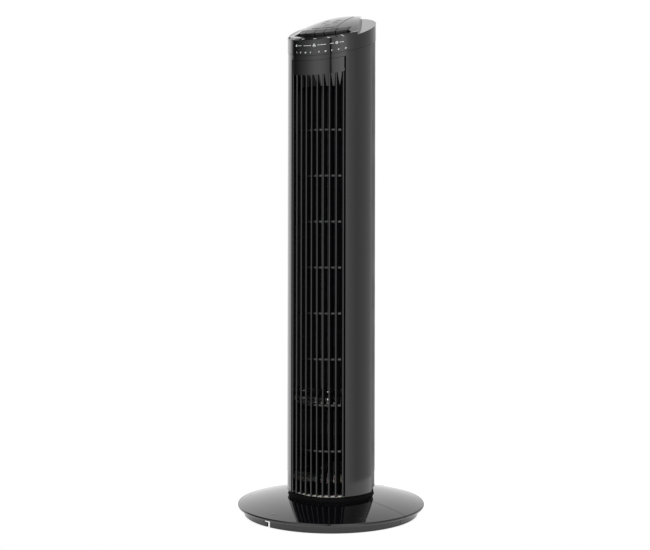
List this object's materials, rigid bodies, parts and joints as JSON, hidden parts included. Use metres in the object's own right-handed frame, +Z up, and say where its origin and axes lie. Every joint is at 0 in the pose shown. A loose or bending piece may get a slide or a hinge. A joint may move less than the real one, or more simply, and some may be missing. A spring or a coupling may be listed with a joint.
{
  "type": "tower fan",
  "caption": "Slim round tower fan with a finned outlet, swinging on a wide round base, with a sloping control head and docked remote.",
  "frame": {"origin": "on the floor under the tower's axis, the middle of the round base", "axes": "+Z up along the tower, -Y the way the tower's grille faces at rest, +X to the viewer's right from the front"},
  "size_m": [0.28, 0.28, 0.7577],
  "materials": {
    "gloss_abs": "polished black ABS",
    "satin_abs": "satin black ABS",
    "smoked_window": "polished smoked acrylic",
    "dark_moulding": "unpolished black polypropylene",
    "white_acetal": "natural acetal",
    "soft_rubber": "moulded rubber",
    "plated_steel": "zinc plated",
    "ground_steel": "ground",
    "sintered_bronze": "sintered",
    "cast_aluminium": "die cast",
    "lamination_steel": "stacked laminations",
    "copper_winding": "enamelled wire",
    "circuit_board": "phenolic board",
    "component_plastic": "moulded component cases"
  },
  "bodies": {
    "base": {"base_front_half": "gloss_abs", "base_rear_half": "gloss_abs", "rubber_feet": "soft_rubber", "base_screws": "plated_steel", "swivel_plate": "dark_moulding", "glide_ring": "white_acetal", "swing_gear": "white_acetal", "gear_screws": "plated_steel", "cord_gland": "soft_rubber"},
    "tower": {"tower_foot": "dark_moulding", "swing_motor": "plated_steel", "front_shell": "satin_abs", "rear_shell": "satin_abs", "shell_screws": "plated_steel", "front_grille": "satin_abs", "scroll_wall": "dark_moulding", "tongue_wall": "dark_moulding", "lower_duct_plate": "dark_moulding", "upper_duct_plate": "dark_moulding", "bearing_rubber": "soft_rubber", "bearing_bush": "sintered_bronze", "motor_lower_housing": "cast_aluminium", "motor_upper_housing": "cast_aluminium", "stator_core": "lamination_steel", "stator_coils": "copper_winding", "motor_bearings": "sintered_bronze", "motor_bracket": "plated_steel", "motor_dampers": "soft_rubber", "power_board": "circuit_board", "power_parts": "component_plastic", "run_capacitor": "dark_moulding", "inner_screws": "plated_steel", "head_shell": "gloss_abs", "display_window": "smoked_window", "head_tray": "dark_moulding", "key_board": "circuit_board", "tact_switches": "component_plastic", "display_board": "circuit_board", "display_diodes": "component_plastic"},
    "impeller": {"impeller": "dark_moulding", "impeller_stub": "ground_steel", "hub_set_screw": "plated_steel", "rotor": "ground_steel", "motor_shaft": "ground_steel"},
    "swing_pinion": {"swing_pinion": "white_acetal"},
    "remote": {"remote_lower_case": "satin_abs", "remote_upper_case": "gloss_abs", "remote_board": "circuit_board", "battery_tray": "dark_moulding", "coin_cell": "plated_steel"},
    "deck_key_1": {"deck_key_1": "satin_abs"},
    "deck_key_2": {"deck_key_2": "satin_abs"},
    "deck_key_3": {"deck_key_3": "satin_abs"},
    "deck_key_4": {"deck_key_4": "satin_abs"},
    "deck_key_5": {"deck_key_5": "satin_abs"},
    "remote_key_1": {"remote_key_1": "soft_rubber"},
    "remote_key_2": {"remote_key_2": "soft_rubber"},
    "remote_key_3": {"remote_key_3": "soft_rubber"},
    "remote_key_4": {"remote_key_4": "soft_rubber"},
    "remote_key_5": {"remote_key_5": "soft_rubber"}
  },
  "joints": [
    {"name": "swing", "type": "hinge", "parent": "base", "child": "tower", "pos_m": [0, 0, 0.0367], "axis": [0, 0, 1], "range_deg": [-55.3, 19.7]},
    {"name": "impeller_spin", "type": "hinge", "parent": "tower", "child": "impeller", "pos_m": [0, 0.008, 0.1], "axis": [0, 0, 1], "continuous": true},
    {"name": "pinion_spin", "type": "hinge", "parent": "tower", "child": "swing_pinion", "pos_m": [0, 0.0312, 0.048], "axis": [0, 0, 1], "range_deg": [-184.5, 65.8]},
    {"name": "remote_lift", "type": "slide", "parent": "tower", "child": "remote", "axis": [0, -0.347, 0.9379], "range_m": [0, 0.03]},
    {"name": "deck_key_1_press", "type": "slide", "parent": "tower", "child": "deck_key_1", "axis": [0, 0.347, -0.9379], "range_m": [0, 0.001], "stiffness_N_per_m": 600, "springref_m": -0.0005},
    {"name": "deck_key_2_press", "type": "slide", "parent": "tower", "child": "deck_key_2", "axis": [0, 0.347, -0.9379], "range_m": [0, 0.001], "stiffness_N_per_m": 600, "springref_m": -0.0005},
    {"name": "deck_key_3_press", "type": "slide", "parent": "tower", "child": "deck_key_3", "axis": [0, 0.347, -0.9379], "range_m": [0, 0.001], "stiffness_N_per_m": 600, "springref_m": -0.0005},
    {"name": "deck_key_4_press", "type": "slide", "parent": "tower", "child": "deck_key_4", "axis": [0, 0.347, -0.9379], "range_m": [0, 0.001], "stiffness_N_per_m": 600, "springref_m": -0.0005},
    {"name": "deck_key_5_press", "type": "slide", "parent": "tower", "child": "deck_key_5", "axis": [0, 0.347, -0.9379], "range_m": [0, 0.001], "stiffness_N_per_m": 600, "springref_m": -0.0005},
    {"name": "remote_key_1_press", "type": "slide", "parent": "remote", "child": "remote_key_1", "axis": [0, 0.347, -0.9379], "range_m": [0, 0.0008], "stiffness_N_per_m": 400, "springref_m": -0.0005},
    {"name": "remote_key_2_press", "type": "slide", "parent": "remote", "child": "remote_key_2", "axis": [0, 0.347, -0.9379], "range_m": [0, 0.0008], "stiffness_N_per_m": 400, "springref_m": -0.0005},
    {"name": "remote_key_3_press", "type": "slide", "parent": "remote", "child": "remote_key_3", "axis": [0, 0.347, -0.9379], "range_m": [0, 0.0008], "stiffness_N_per_m": 400, "springref_m": -0.0005},
    {"name": "remote_key_4_press", "type": "slide", "parent": "remote", "child": "remote_key_4", "axis": [0, 0.347, -0.9379], "range_m": [0, 0.0008], "stiffness_N_per_m": 400, "springref_m": -0.0005},
    {"name": "remote_key_5_press", "type": "slide", "parent": "remote", "child": "remote_key_5", "axis": [0, 0.347, -0.9379], "range_m": [0, 0.0008], "stiffness_N_per_m": 400, "springref_m": -0.0005}
  ],
  "couplings": [
    {"joint": "pinion_spin", "follows": "swing", "ratio": 3.3333}
  ]
}
